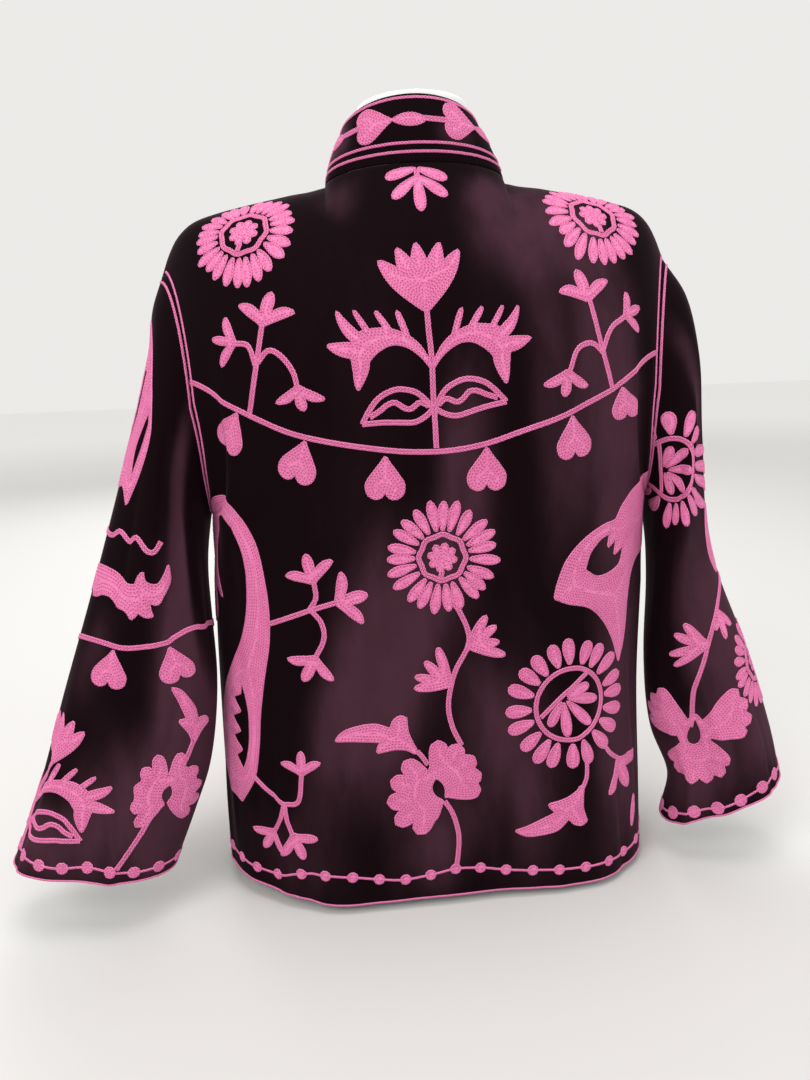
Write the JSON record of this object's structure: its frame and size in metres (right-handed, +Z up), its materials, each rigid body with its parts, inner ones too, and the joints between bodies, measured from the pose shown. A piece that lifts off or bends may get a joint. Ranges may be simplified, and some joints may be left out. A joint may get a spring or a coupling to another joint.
{
  "type": "velvet kimono jacket on a dress form",
  "caption": "Loose dark velvet jacket with a stand collar, an open front, bright chain-stitched flowers and sleeves hanging empty, on a limbless dress form.",
  "frame": {"origin": "centre of the dress form's flat base, on the surface that it stands on", "axes": "+Z up; -Y the way the open front looks; +Y the back; +X the wearer's left"},
  "size_m": [0.795, 0.2603, 0.769],
  "materials": {
    "velvet": "dark aubergine velvet, nearly black in the pile's shade and plum where it catches light",
    "thread": "orchid pink silky thread in raised chain stitch",
    "form": "smooth white, satin"
  },
  "bodies": {
    "root": {"dress_form": "form", "back_panel": "velvet", "front_left": "velvet", "front_right": "velvet", "sleeve_left": "velvet", "sleeve_right": "velvet", "collar": "velvet"}
  },
  "joints": []
}
